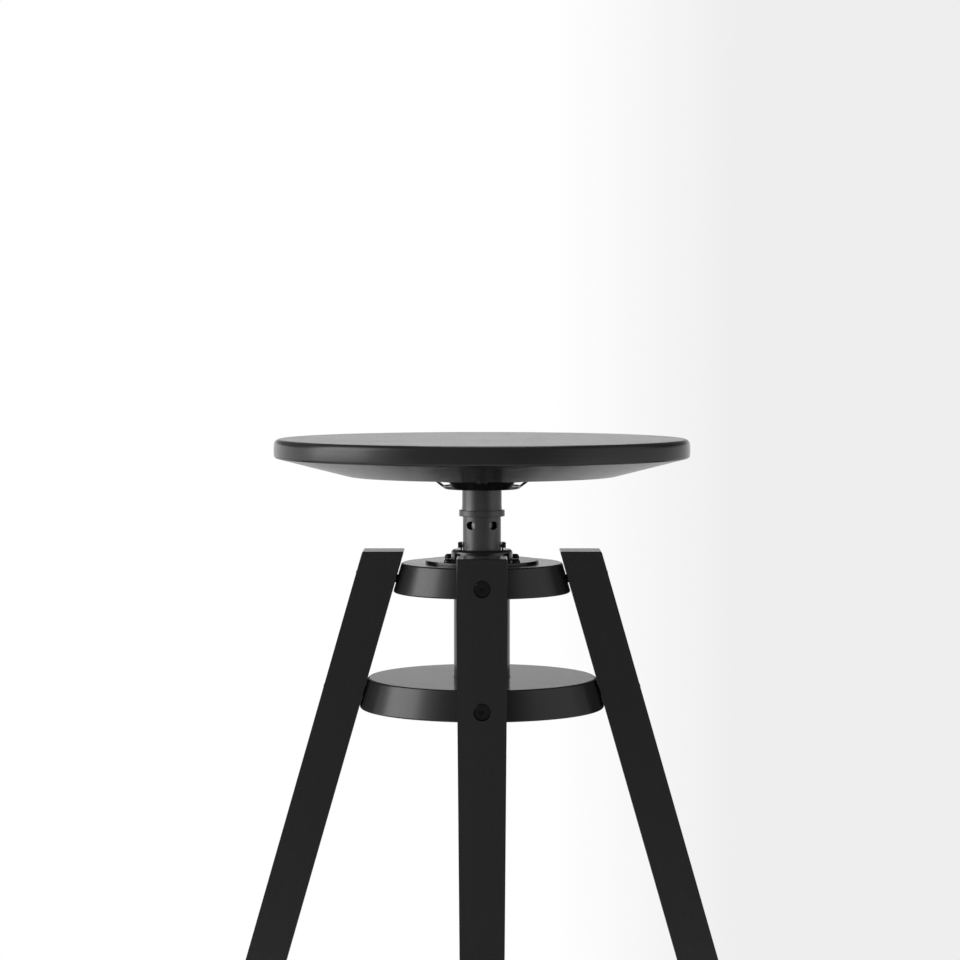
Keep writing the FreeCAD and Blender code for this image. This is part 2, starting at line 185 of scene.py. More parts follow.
def turnedMesh(name, corners, segments, closed=False, arcSteps=5):
    shape = bmesh.new()
    outline = roundedOutline(corners, closed, arcSteps)
    skinRings(shape, [circleRing(point.x, point.y, segments) for point in outline], closed)
    return meshFrom(shape, name)


def addPin(shape, outline, turn, shift, segments=48):
    # a turned pin of (radius, distance along) pairs, for cutting a hole
    skinRings(shape, [
        [turn @ point + Vector(shift) for point in circleRing(radius, along, segments)]
        for radius, along in outline
    ])


def settled(obj):
    # applies an object's modifiers and leaves a plain mesh
    graph = bpy.context.evaluated_depsgraph_get()
    mesh = bpy.data.meshes.new_from_object(obj.evaluated_get(graph), depsgraph=graph)
    obj.modifiers.clear()
    obj.data = mesh
    mesh.name = obj.name
    return obj


def cutAway(obj, tool):
    cut = obj.modifiers.new("cut", "BOOLEAN")
    cut.object = tool
    cut.operation = "DIFFERENCE"
    cut.solver = "EXACT"
    settled(obj)
    bpy.data.objects.remove(tool)


def weightedNormals(obj):
    obj.modifiers.new("evenNormals", "WEIGHTED_NORMAL").keep_sharp = True
    return settled(obj)


def squaredToAxis(normal, place, swingDegrees=20.0, leastLevel=1e-4):
    # on a piece turned about Z, a normal that points nearly away from the axis does so exactly
    radial = Vector((place.x, place.y, 0.0)).normalized()
    level = math.hypot(normal.x, normal.y)
    along = normal.dot(radial)
    if level < leastLevel or abs(along) < level * math.cos(math.radians(swingDegrees)):
        return normal
    return radial * math.copysign(level, along) + upward * normal.z


def panelNormals(mesh, coneDegrees=50.0, turned=False):
    # each corner follows the widest face there, so a panel stays flat up to its rounded edges
    limit = math.cos(math.radians(coneDegrees))
    around = [[] for vertex in mesh.vertices]
    for face in mesh.polygons:
        for index in face.vertices:
            around[index].append(face)
    normals = []
    for face in mesh.polygons:
        for index in face.vertices:
            total = Vector((0.0, 0.0, 0.0))
            for other in around[index]:
                if other.normal.dot(face.normal) > limit:
                    total += other.normal * (other.area / mm ** 2) ** 2
            total.normalize()
            normals.append(squaredToAxis(total, mesh.vertices[index].co) if turned else total)
    mesh.normals_split_custom_set(normals)


def smoothCopy(name, nodeName, sharpDegrees=28.0, mergeDistance=2e-6):
    # the CAD node's triangles, merged and shaded smooth across its fine facets
    shape = bmesh.new()
    shape.from_mesh(nodes[nodeName].data)
    bmesh.ops.remove_doubles(shape, verts=shape.verts, dist=mergeDistance)
    mesh = bakedMesh(shape, name)
    shadeSmooth(mesh, sharpDegrees)
    panelNormals(mesh, sharpDegrees, turned=True)
    return meshObject(name, mesh)


def grainAttribute(mesh, toGrain, shift=(0.0, 0.0, 0.0)):
    # each point's place in the timber, with the grain along Z
    places = mesh.attributes.new("grainPlace", "FLOAT_VECTOR", "POINT")
    flat = []
    for vertex in mesh.vertices:
        flat.extend(toGrain @ vertex.co + Vector(shift))
    places.data.foreach_set("vector", flat)


def dress(obj, slotName, body, *replaced):
    obj.data.materials.clear()
    obj.data.materials.append(finishes[slotName])
    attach(obj, body)
    if replaced:
        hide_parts(*replaced)
    return obj


# Node helpers, for shaders and for Geometry Nodes

def feed(socket, value):
    # another node's output is linked, anything else becomes the socket's own value
    if isinstance(value, bpy.types.NodeSocket):
        socket.id_data.links.new(value, socket)
    else:
        socket.default_value = value


def addNode(tree, kind, inputs=None, **settings):
    node = tree.nodes.new(kind)
    for key, value in settings.items():
        setattr(node, key, value)
    for key, value in (inputs or {}).items():
        feed(node.inputs[key], value)
    return node


def mathNode(tree, operation, *values, clamp=False):
    node = addNode(
        tree, "ShaderNodeMath", dict(enumerate(values)), operation=operation, use_clamp=clamp
    )
    return node.outputs["Value"]


def product(tree, first, second):
    return mathNode(tree, "MULTIPLY", first, second)


def rangeNode(tree, value, fromRange, toRange=(0.0, 1.0)):
    return addNode(tree, "ShaderNodeMapRange", {
        "Value": value, "From Min": fromRange[0], "From Max": fromRange[1],
        "To Min": toRange[0], "To Max": toRange[1],
    }).outputs["Result"]


def vectorNode(tree, x=0.0, y=0.0, z=0.0):
    return addNode(tree, "ShaderNodeCombineXYZ", {0: x, 1: y, 2: z}).outputs[0]


def noiseNode(tree, place, scale, detail, roughness, distortion=0.0):
    return addNode(tree, "ShaderNodeTexNoise", {
        "Vector": place, "Scale": scale, "Detail": detail, "Roughness": roughness,
        "Distortion": distortion,
    }).outputs["Fac"]


def mixColor(tree, share, first, second):
    mix = addNode(tree, "ShaderNodeMix", {0: share, 6: first, 7: second}, data_type="RGBA")
    return mix.outputs[2]


def newMaterial(name):
    material = bpy.data.materials.new(name)
    material.use_nodes = True
    tree = material.node_tree
    tree.nodes.clear()
    shader = tree.nodes.new("ShaderNodeBsdfPrincipled")
    addNode(tree, "ShaderNodeOutputMaterial", {"Surface": shader.outputs["BSDF"]})
    return material, tree, shader.inputs


def newGroup(name, treeKind, inputs, outputs):
    # inputs are (label, kind, default or None), outputs are (label, kind)
    group = bpy.data.node_groups.new(name, treeKind)
    for label, kind, value in inputs:
        socket = group.interface.new_socket(
            label, in_out="INPUT", socket_type="NodeSocket" + kind
        )
        if value is not None:
            socket.default_value = value
    for label, kind in outputs:
        group.interface.new_socket(label, in_out="OUTPUT", socket_type="NodeSocket" + kind)
    given = group.nodes.new("NodeGroupInput").outputs
    return group, given, group.nodes.new("NodeGroupOutput").inputs


def placeGroup(tree, group, inputs):
    return addNode(tree, "ShaderNodeGroup", inputs, node_tree=group).outputs


def bumpInto(tree, surface, height, distance):
    bump = addNode(tree, "ShaderNodeBump", {"Height": height, "Distance": distance})
    feed(surface["Normal"], bump.outputs["Normal"])


def shaded(color, factor):
    return tuple(channel * factor for channel in color[:3]) + (1.0,)


# Shared effects

grainValues = {
    "stretch": (1.0, 1.0, 0.035),  # the fibres run along Z
    "fibreScale": 900.0,
    "figureScale": 26.0,
    "poreScale": 1.7,  # times the fibres' scale
    "poreRange": (0.62, 0.72),
}
wearValues = {
    "radius": 0.0012,
    "amount": 0.5,
    "breakUp": 120.0,
    "edgeRange": (0.985, 0.86),  # how far the two normals agree
    "patchRange": (0.45, 0.62),
}
textureValues = {"gritScale": 900.0, "mottleScale": 22.0}


def buildWoodGrain(values):
    group, given, result = newGroup(
        "woodGrain", "ShaderNodeTree",
        [("Vector", "Vector", None), ("Fibre Scale", "Float", values["fibreScale"]),
         ("Figure Scale", "Float", values["figureScale"])],
        [("Fibre", "Float"), ("Pore", "Float"), ("Figure", "Float")],
    )
    place = addNode(
        group, "ShaderNodeVectorMath", {0: given["Vector"], 1: values["stretch"]},
        operation="MULTIPLY",
    ).outputs[0]
    poreScale = product(group, given["Fibre Scale"], values["poreScale"])
    pores = noiseNode(group, place, poreScale, detail=1.0, roughness=0.4)
    feed(result["Fibre"], noiseNode(
        group, place, given["Fibre Scale"], detail=3.0, roughness=0.6
    ))
    feed(result["Pore"], rangeNode(group, pores, values["poreRange"]))
    feed(result["Figure"], noiseNode(
        group, place, given["Figure Scale"], detail=2.0, roughness=0.5, distortion=0.6
    ))
    return group


def buildEdgeWear(values):
    group, given, result = newGroup(
        "edgeWear", "ShaderNodeTree",
        [("Radius", "Float", values["radius"]), ("Amount", "Float", values["amount"]),
         ("Break Up", "Float", values["breakUp"])],
        [("Wear", "Float")],
    )
    bevel = addNode(group, "ShaderNodeBevel", {"Radius": given["Radius"]}, samples=4)
    surface = group.nodes.new("ShaderNodeNewGeometry")
    agreement = addNode(
        group, "ShaderNodeVectorMath",
        {0: bevel.outputs["Normal"], 1: surface.outputs["Normal"]}, operation="DOT_PRODUCT",
    ).outputs["Value"]
    place = group.nodes.new("ShaderNodeTexCoord").outputs["Object"]
    patches = noiseNode(group, place, given["Break Up"], detail=4.0, roughness=0.65)
    worn = product(
        group, rangeNode(group, agreement, values["edgeRange"]),
        rangeNode(group, patches, values["patchRange"]),
    )
    feed(result["Wear"], mathNode(group, "MULTIPLY", worn, given["Amount"], clamp=True))
    return group


def buildFineTexture(values):
    group, given, result = newGroup(
        "fineTexture", "ShaderNodeTree",
        [("Scale", "Float", values["gritScale"]),
         ("Mottle Scale", "Float", values["mottleScale"])],
        [("Grit", "Float"), ("Mottle", "Float")],
    )
    place = group.nodes.new("ShaderNodeTexCoord").outputs["Object"]
    feed(result["Grit"], noiseNode(group, place, given["Scale"], detail=2.0, roughness=0.55))
    feed(result["Mottle"], noiseNode(
        group, place, given["Mottle Scale"], detail=3.0, roughness=0.5
    ))
    return group


woodGrain = buildWoodGrain(grainValues)
edgeWear = buildEdgeWear(wearValues)
fineTexture = buildFineTexture(textureValues)
print("shader groups built")


# Finishes

noiseMiddle = (0.3, 0.7)  # where nearly all of a noise's values lie
lacquerValues = {
    "stain": (0.0165, 0.0163, 0.0162),
    "shades": (0.88, 1.14),
    "worn": (0.060, 0.052, 0.045, 1.0),
    "roughness": {
        "seatLacquer": (0.16, 0.21), "discLacquer": (0.15, 0.19), "legLacquer": (0.19, 0.23),
    },
    "wear": 0.1,
    "fibreHeight": 0.4,  # over a pore's depth
    "poreDepth": 0.00003,
}


def lacqueredWood(name, values):
    material, tree, surface = newMaterial(name)
    place = addNode(tree, "ShaderNodeAttribute", attribute_name="grainPlace")
    grain = placeGroup(tree, woodGrain, {"Vector": place.outputs["Vector"]})
    wear = placeGroup(tree, edgeWear, {"Amount": values["wear"]})
    dark, light = (shaded(values["stain"], factor) for factor in values["shades"])
    figured = mixColor(tree, grain["Figure"], dark, light)
    feed(surface["Base Color"], mixColor(tree, wear["Wear"], figured, values["worn"]))
    feed(surface["Roughness"], rangeNode(
        tree, grain["Fibre"], noiseMiddle, values["roughness"][name]
    ))
    fibres = product(tree, grain["Fibre"], values["fibreHeight"])
    height = mathNode(tree, "SUBTRACT", fibres, grain["Pore"])
    bumpInto(tree, surface, height, values["poreDepth"])
    return material


plainValues = {
    "coated_steel": {
        "name": "powderCoatedSteel",
        "color": (0.0080, 0.0080, 0.0083),
        "shades": (1.0, 1.12),
        "roughness": (0.16, 0.22),
        "constants": {"IOR": 1.7},
        "wear": {"Radius": 0.0008, "Amount": 0.15},
        "worn": (0.10, 0.097, 0.094, 1.0),
        "texture": {"Scale": 1100.0},
        "gritDepth": 0.000008,
    },
    "spindle_steel": {
        "name": "spindleCoating",
        "color": (0.040, 0.040, 0.041),
        "shades": (1.0, 1.12),
        "roughness": (0.26, 0.32),
        "constants": {"IOR": 1.75},
        "wear": {"Radius": 0.0008, "Amount": 0.15},
        "worn": (0.14, 0.137, 0.134, 1.0),
        "texture": {"Scale": 1100.0},
        "gritDepth": 0.000004,
    },
    "black_plastic": {
        "name": "blackPlastic",
        "color": (0.010, 0.010, 0.0104),
        "shades": (1.0, 1.15),
        "roughness": (0.07, 0.15),
        "constants": {"IOR": 1.7},
        "texture": {"Scale": 1500.0, "Mottle Scale": 60.0},
        "gritDepth": 0.000012,
    },
    "nut_plastic": {
        "name": "naturalNylon",
        "color": (0.60, 0.57, 0.50),
        "shades": (1.0, 1.15),
        "roughness": (0.38, 0.46),
        "constants": {"IOR": 1.5},
        "texture": {"Scale": 1500.0, "Mottle Scale": 60.0},
        "gritDepth": 0.000012,
    },
    "blackened_steel": {
        "name": "blackenedSteel",
        "color": (0.0050, 0.0050, 0.0051),
        "shades": (1.0, 1.12),
        "roughness": (0.15, 0.19),
        "constants": {"IOR": 1.5},
        "wear": {"Radius": 0.0008, "Amount": 0.15},
        "worn": (0.06, 0.06, 0.06, 1.0),
        "texture": {"Scale": 1100.0},
        "gritDepth": 0.000006,
    },
    "plated_steel": {
        "name": "zincPlate",
        "color": (0.58, 0.58, 0.60),
        "shades": (0.7, 1.0),
        "roughness": (0.27, 0.41),
        "constants": {"Metallic": 1.0},
        "texture": {"Scale": 1800.0, "Mottle Scale": 90.0},
        "gritDepth": 0.000006,
    },
    "oiled_steel": {
        "name": "oiledSteel",
        "color": (0.20, 0.20, 0.205),
        "shades": (0.7, 1.0),
        "roughness": (0.23, 0.37),
        "constants": {"Metallic": 1.0},
        "texture": {"Scale": 1800.0, "Mottle Scale": 90.0},
        "gritDepth": 0.000006,
    },
}


def plainFinish(values):
    material, tree, surface = newMaterial(values["name"])
    texture = placeGroup(tree, fineTexture, values["texture"])
    first, second = (shaded(values["color"], factor) for factor in values["shades"])
    color = mixColor(tree, texture["Mottle"], first, second)
    if "wear" in values:
        wear = placeGroup(tree, edgeWear, values["wear"])
        color = mixColor(tree, wear["Wear"], color, values["worn"])
    feed(surface["Base Color"], color)
    feed(surface["Roughness"], rangeNode(
        tree, texture["Mottle"], noiseMiddle, values["roughness"]
    ))
    for label, value in values["constants"].items():
        surface[label].default_value = value
    bumpInto(tree, surface, texture["Grit"], values["gritDepth"])
    return material


finishes = {
    "seat_wood": lacqueredWood("seatLacquer", lacquerValues),
    "disc_wood": lacqueredWood("discLacquer", lacquerValues),
    "leg_wood": lacqueredWood("legLacquer", lacquerValues),
}
for slotName, slotValues in plainValues.items():
    finishes[slotName] = plainFinish(slotValues)
slotOfNode = {part["node"]: part["material_slot"] for part in frame["record"]["subparts"]}
for nodeName, node in nodes.items():
    node.data.materials.clear()
    node.data.materials.append(finishes[slotOfNode[nodeName]])
print("finishes:", len(finishes))


# Seat board

seatValues = {
    "radius": 150.0,
    "top": 649.3,
    "bottom": 622.7,
    "flatRadius": 97.5,
    "bevelTop": 636.1,
    "topRounding": 4.0,
    "lowerRounding": 2.2,
    "rimMiddle": 640.9,
    "rimDraw": {"lower": 0.25, "upper": 0.35},
    "rimRounding": 45.0,
    "flatRounding": 4.0,
    "flatLoops": {"bottom": 50.0, "top": (120.0, 60.0)},
    "segments": 240,
}


def buildSeat(values):
    top, bottom, radius = values["top"], values["bottom"], values["radius"]
    outerLoop, innerLoop = values["flatLoops"]["top"]
    mesh = turnedMesh("seatBoard", [
        (0.0, bottom, 0.0),
        (values["flatLoops"]["bottom"], bottom, 0.0),
        (values["flatRadius"], bottom, values["flatRounding"]),
        (radius - values["rimDraw"]["lower"], values["bevelTop"], values["lowerRounding"]),
        (radius, values["rimMiddle"], values["rimRounding"]),
        (radius - values["rimDraw"]["upper"], top, values["topRounding"]),
        (outerLoop, top, 0.0),
        (innerLoop, top, 0.0),
        (0.0, top, 0.0),
    ], values["segments"], arcSteps=8)
    grainAttribute(mesh, grainAlongX)
    seat = weightedNormals(meshObject("seatBoard", mesh))
    return dress(seat, "seat_wood", "seat_and_spindle", "seat")


buildSeat(seatValues)
print("seat built")


# Legs, and what is measured from them

legValues = {
    "top": 568.8,
    "foot": 3.0,
    "innerAtTop": 56.1,
    "depth": 29.8,
    "leanDegrees": 16.03,
    "widthTop": 35.3,
    "widthFoot": 23.7,
    "taperFrom": 531.0,
    "edgeRadius": 1.0,
    "edgeSteps": 4,
    "boltHeights": (548.25, 465.975, 215.0),
    "headSink": 0.8,
    "headHeight": 6.0,
    "counterboreRadius": 5.95,
    "boreRadius": 3.25,
    "cutPast": 20.0,
    "grainShift": (0.37, 0.21, 0.9),  # each leg is its own piece of timber
    "names": ("front", "right", "back", "left"),
    "azimuths": (-90.0, 0.0, 90.0, 180.0),
}
leanSlope = math.tan(math.radians(legValues["leanDegrees"]))


def legInner(height):
    return legValues["innerAtTop"] + (legValues["top"] - height) * leanSlope


def boltSeat(height):
    return legInner(height) + legValues["depth"] - legValues["headSink"] - legValues["headHeight"]


def legBlank(values, near=0.1):
    shape = bmesh.new()
    loops = []
    for height, width in (
        (values["foot"], values["widthFoot"]),
        (values["taperFrom"], values["widthTop"]),
        (values["top"], values["widthTop"]),
    ):
        inner, outer = legInner(height), legInner(height) + values["depth"]
        corners = (
            (inner, -width / 2), (outer, -width / 2), (outer, width / 2), (inner, width / 2),
        )
        loops.append([Vector((x, y, height)) for x, y in corners])
    skinRings(shape, loops)
    for end in (values["top"], values["foot"]):
        shape.faces.new([vert for vert in shape.verts if abs(vert.co.z - end) < near])
    rounded = []  # the long edges, then those round the top
    for edge in shape.edges:
        if abs(edge.verts[0].co.z - edge.verts[1].co.z) > near:
            rounded.append(edge)
    for edge in shape.edges:
        if min(vert.co.z for vert in edge.verts) > values["top"] - near:
            rounded.append(edge)
    bmesh.ops.bevel(
        shape, geom=rounded, offset=values["edgeRadius"], segments=values["edgeSteps"],
        profile=0.5, affect="EDGES",
    )
    return shape


def boltSpace(values):
    shape = bmesh.new()
    bore, counterbore = values["boreRadius"], values["counterboreRadius"]
    outwards = Matrix.Rotation(math.pi / 2, 3, "Y")
    for height in values["boltHeights"]:
        seat = boltSeat(height)
        start, end = legInner(height) - values["cutPast"], seat + values["cutPast"]
        addPin(shape, (
            (0.0, start), (bore, start), (bore, seat),
            (counterbore, seat), (counterbore, end), (0.0, end),
        ), outwards, (0.0, 0.0, height))
    return meshObject("boltSpace", meshFrom(shape, "boltSpace"))


def buildLegs(values):
    master = meshObject("legMaster", meshFrom(legBlank(values), "legMaster"))
    cutAway(master, boltSpace(values))
    panelNormals(master.data)
    upright = Matrix.Rotation(math.radians(values["leanDegrees"]), 3, "Y")
    for index, (name, azimuth) in enumerate(zip(values["names"], values["azimuths"])):
        mesh = master.data.copy()
        mesh.name = "leg" + name.capitalize()
        grainAttribute(mesh, upright, Vector(values["grainShift"]) * index)
        mesh.transform(Matrix.Rotation(math.radians(azimuth), 4, "Z"))
        dress(meshObject(mesh.name, mesh), "leg_wood", "base", "leg_" + name)
    bpy.data.objects.remove(master)


def pressAgainstLegs(mesh):
    # brings points that stand inside a leg back to its inner face
    for vertex in mesh.vertices:
        limit = legInner(vertex.co.z / mm) * mm
        for turn in quarterTurns:
            outward = Vector((math.cos(turn), math.sin(turn), 0.0))
            over = vertex.co.dot(outward) - limit
            if over > 0.0:
                vertex.co -= outward * over


buildLegs(legValues)
print("legs built")


# Discs between the legs

discValues = {
    "boreRadius": 20.55,
    "boreRounding": 0.4,
    "lowRounding": 1.0,
    "highRounding": 1.6,
    "legGap": {"upper": 0.6, "lower": 0.05},
    "segments": 240,
    "heights": {"upper": (538.5, 559.8), "lower": (455.15, 476.8)},
}


def buildDisc(name, values):
    low, high = values["heights"][name]
    gap = values["legGap"][name]
    bore, boreRounding = values["boreRadius"], values["boreRounding"]
    mesh = turnedMesh(name + "Disc", [
        (bore, low, boreRounding),
        (legInner(low) - gap, low, values["lowRounding"]),
        (legInner(high) - gap, high, values["highRounding"]),
        (bore, high, boreRounding),
    ], values["segments"], closed=True, arcSteps=6)
    grainAttribute(mesh, grainAlongX)
    disc = weightedNormals(meshObject(name + "Disc", mesh))
    return dress(disc, "disc_wood", "base", name + "_disc")


for discName in discValues["heights"]:
    buildDisc(discName, discValues)
print("discs built")


# Geometry Nodes: a tree runs once, and its plain mesh stays

def endTree(tree, geometry, given, result):
    real = addNode(tree, "GeometryNodeRealizeInstances", {"Geometry": geometry})
    finish = addNode(tree, "GeometryNodeSetMaterial", {
        "Geometry": real.outputs["Geometry"], "Material": given["Finish"],
    })
    feed(result["Geometry"], finish.outputs["Geometry"])


def grownObject(name, tree, inputs):
    identifiers = {item.name: item.identifier for item in tree.interface.items_tree}
    holder = meshObject(name, bpy.data.meshes.new(name))
    modifier = holder.modifiers.new(name, "NODES")
    modifier.node_group = tree
    for label, value in inputs.items():
        modifier[identifiers[label]] = value
    return settled(holder)


def buildRingTree():
    # copies of one fastener round the screw axis, each with a turn of its own
    tree, given, result = newGroup("ringOfCopies", "GeometryNodeTree", [
        ("Piece", "Object", None), ("Copies", "Int", 4), ("Ring Radius", "Float", 0.0),
        ("First Angle", "Float", 0.0), ("Height", "Float", 0.0), ("Loose Turn", "Float", 0.0),
        ("Seed", "Int", 1), ("Turn Axis", "Vector", upward), ("Finish", "Material", None),
    ], [("Geometry", "Geometry")])

    line = addNode(tree, "GeometryNodeMeshLine", {
        "Count": given["Copies"], "Offset": (0.0, 0.0, 0.0),
    })
    number = tree.nodes.new("GeometryNodeInputIndex").outputs["Index"]
    share = mathNode(tree, "DIVIDE", number, given["Copies"])
    angle = mathNode(tree, "MULTIPLY_ADD", share, 2.0 * math.pi, given["First Angle"])
    spread = addNode(tree, "GeometryNodeSetPosition", {
        "Geometry": line.outputs["Mesh"],
        "Position": vectorNode(
            tree, product(tree, mathNode(tree, "COSINE", angle), given["Ring Radius"]),
            product(tree, mathNode(tree, "SINE", angle), given["Ring Radius"]), given["Height"],
        ),
    })

    chance = addNode(
        tree, "FunctionNodeRandomValue", {"Seed": given["Seed"]}, data_type="FLOAT"
    )
    numbers = [socket for socket in chance.inputs if socket.type == "VALUE" and socket.enabled]
    feed(numbers[0], product(tree, given["Loose Turn"], -1.0))
    feed(numbers[1], given["Loose Turn"])
    looseTurn = next(socket for socket in chance.outputs if socket.enabled)

    info = addNode(tree, "GeometryNodeObjectInfo", {"Object": given["Piece"]})
    copies = addNode(tree, "GeometryNodeInstanceOnPoints", {
        "Points": spread.outputs["Geometry"], "Instance": info.outputs["Geometry"],
        "Rotation": vectorNode(tree, z=angle),
    })
    ownTurn = addNode(tree, "FunctionNodeAxisAngleToRotation", {
        "Axis": given["Turn Axis"], "Angle": looseTurn,
    })
    turned = addNode(tree, "GeometryNodeRotateInstances", {
        "Instances": copies.outputs["Instances"], "Rotation": ownTurn.outputs["Rotation"],
        "Local Space": True,
    })
    endTree(tree, turned.outputs["Instances"], given, result)
    return tree


ringTree = buildRingTree()


def ringOfCopies(name, pieceMesh, slotName, body, replaced, inputs):
    piece = meshObject(name + "Piece", pieceMesh)
    ring = grownObject(name, ringTree, {
        "Piece": piece, "Finish": finishes[slotName], "Copies": 4, **inputs,
    })
    bpy.data.objects.remove(piece)
    return dress(ring, slotName, body, *replaced)


# Leg bolts and footrest bolts

boltValues = {
    "headRadius": 5.7,
    "headHeight": 6.0,
    "rounding": 0.6,
    "seatRounding": 0.3,
    "tipRounding": 0.5,
    "socketAcross": 4.0,
    "socketDepth": 3.0,
    "socketRim": 0.72,  # times the width across
    "socketCone": 0.6,
    "shankRadius": 3.0,
    "discReach": 20.0,
    "bossReach": 1.0,
    "looseTurn": 0.5,
    "seed": 7,
    "segments": 48,
}
footrestStandoff = 15.0  # from a leg's inner face to the middle of the hoop's bar


def boltMesh(name, shankLength, values):
    # lies along X with the head outwards, its seat at X = 0
    shape = bmesh.new()
    segments, across = values["segments"], values["socketAcross"]
    shank, head, top = values["shankRadius"], values["headRadius"], values["headHeight"]
    outline = roundedOutline([
        (0.0, -shankLength, 0.0), (shank, -shankLength, values["tipRounding"]),
        (shank, 0.0, 0.0), (head, 0.0, values["seatRounding"]),
        (head, top, values["rounding"]), (across * values["socketRim"], top, 0.0),
    ])
    floor = top - values["socketDepth"]
    rings = [circleRing(point.x, point.y, segments) for point in outline]
    rings += [polygonRing(across, 6, height, segments) for height in (top, floor)]
    rings.append(circleRing(0.0, floor - values["socketCone"], segments))
    skinRings(shape, rings)
    bmesh.ops.rotate(
        shape, verts=shape.verts, matrix=Matrix.Rotation(math.pi / 2, 3, "Y")
    )
    return meshFrom(shape, name)


def buildBolts(name, height, reach, nodeName, values):
    # reach is how far the tip goes past the leg's inner face
    seat = boltSeat(height)
    mesh = boltMesh(name, seat - (legInner(height) - reach), values)
    return ringOfCopies(name, mesh, "blackened_steel", "base", [nodeName], {
        "Ring Radius": seat * mm, "First Angle": -math.pi / 2, "Height": height * mm,
        "Loose Turn": values["looseTurn"], "Seed": values["seed"], "Turn Axis": (1.0, 0.0, 0.0),
    })


for boltName, boltHeight, boltReach, nodeName in zip(
    ("upperLegBolts", "lowerLegBolts", "footrestBolts"),
    legValues["boltHeights"],
    (boltValues["discReach"], boltValues["discReach"],
     footrestStandoff + boltValues["bossReach"]),
    ("leg_bolts_upper", "leg_bolts_lower", "footrest_bolts"),
):
    buildBolts(boltName, boltHeight, boltReach, nodeName, boltValues)
print("bolts built")


# Wood screws in the mounting plate and in the seat plate

screwValues = {
    "headRadius": 3.9,
    "headHeight": 2.4,
    "sideHeight": 1.0,
    "shoulderRadius": 3.1,
    "shoulderHeight": 2.1,
    "rounding": 1.0,
    "seatRounding": 0.2,
    "shankRadius": 2.0,
    "length": 16.0,
    "tipLength": 3.5,
    "recessSpan": 4.4,
    "recessWidth": 0.9,
    "recessDepth": 1.3,
    "recessRim": 0.53,  # times the span
    "recessTaper": {"span": 0.6, "width": 0.8},
    "recessCone": 0.3,
    "looseTurn": 1.4,
    "seed": 3,
    "ringRadius": {"flange": 33.0, "seat": 42.15},
    "firstAngle": {"flange": 45.0, "seat": 0.0},
    "seatHeights": {"flange": 561.8, "seat": 620.9},
    "segments": 64,
}


def screwMesh(name, values, upsideDown):
    shape = bmesh.new()
    segments, top, shank = values["segments"], values["headHeight"], values["shankRadius"]
    span, width, taper = values["recessSpan"], values["recessWidth"], values["recessTaper"]
    outline = roundedOutline([
        (0.0, -values["length"], 0.0), (shank, values["tipLength"] - values["length"], 0.0),
        (shank, 0.0, 0.0), (values["headRadius"], 0.0, values["seatRounding"]),
        (values["headRadius"], values["sideHeight"], values["rounding"]),
        (values["shoulderRadius"], values["shoulderHeight"], values["rounding"]),
        (span * values["recessRim"], top, 0.0),
    ])
    floor = top - values["recessDepth"]
    rings = [circleRing(point.x, point.y, segments) for point in outline]
    rings.append(crossRing(span, width, top, segments))
    rings.append(crossRing(span * taper["span"], width * taper["width"], floor, segments))
    rings.append(circleRing(0.0, floor - values["recessCone"], segments))
    skinRings(shape, rings)
    if upsideDown:
        bmesh.ops.rotate(shape, verts=shape.verts, matrix=Matrix.Rotation(math.pi, 3, "X"))
    return meshFrom(shape, name)


def buildScrews(use, body, nodeName, values):
    mesh = screwMesh(use + "Screws", values, upsideDown=use == "seat")
    ringOfCopies(use + "Screws", mesh, "blackened_steel", body, [nodeName], {
        "Ring Radius": values["ringRadius"][use] * mm,
        "First Angle": math.radians(values["firstAngle"][use]),
        "Height": values["seatHeights"][use] * mm,
        "Loose Turn": values["looseTurn"], "Seed": values["seed"],
    })


buildScrews("flange", "base", "flange_screws", screwValues)
buildScrews("seat", "seat_and_spindle", "seat_screws", screwValues)
print("screws built")


# Foot glides

glideValues = {
    "radius": 9.0,
    "thickness": 3.0,
    "rounding": 0.8,
    "edge": 0.3,
    "stemRadius": 2.5,
    "stemTop": 17.0,
    "segments": 48,
}


def buildGlides(values):
    radius, stem, thickness = values["radius"], values["stemRadius"], values["thickness"]
    mesh = turnedMesh("glide", [
        (0.0, 0.0, 0.0),
        (radius, 0.0, values["rounding"]),
        (radius, thickness, values["edge"]),
        (stem, thickness, 0.0),
        (stem, values["stemTop"], values["edge"]),
        (0.0, values["stemTop"], 0.0),
    ], values["segments"])
    footMiddle = legInner(legValues["foot"]) + legValues["depth"] / 2.0
    replaced = ["foot_glide_" + name for name in legValues["names"]]
    ringOfCopies("footGlides", mesh, "black_plastic", "base", replaced, {
        "Ring Radius": footMiddle * mm,
    })


buildGlides(glideValues)
print("glides built")


# Footrest hoop: a round bar on four bosses

hoopValues = {
    "height": 215.0,
    "barRadius": 6.0,
    "barSteps": 192,
    "barSides": 32,
    "bossRadius": 7.0,
    "bossPast": 4.0,
    "bossSides": 40,
    "weldRadius": 1.6,
    "weldSides": 10,
    "weldHeight": 0.55,  # times the bar's radius
    "sharpDegrees": 40.0,
}


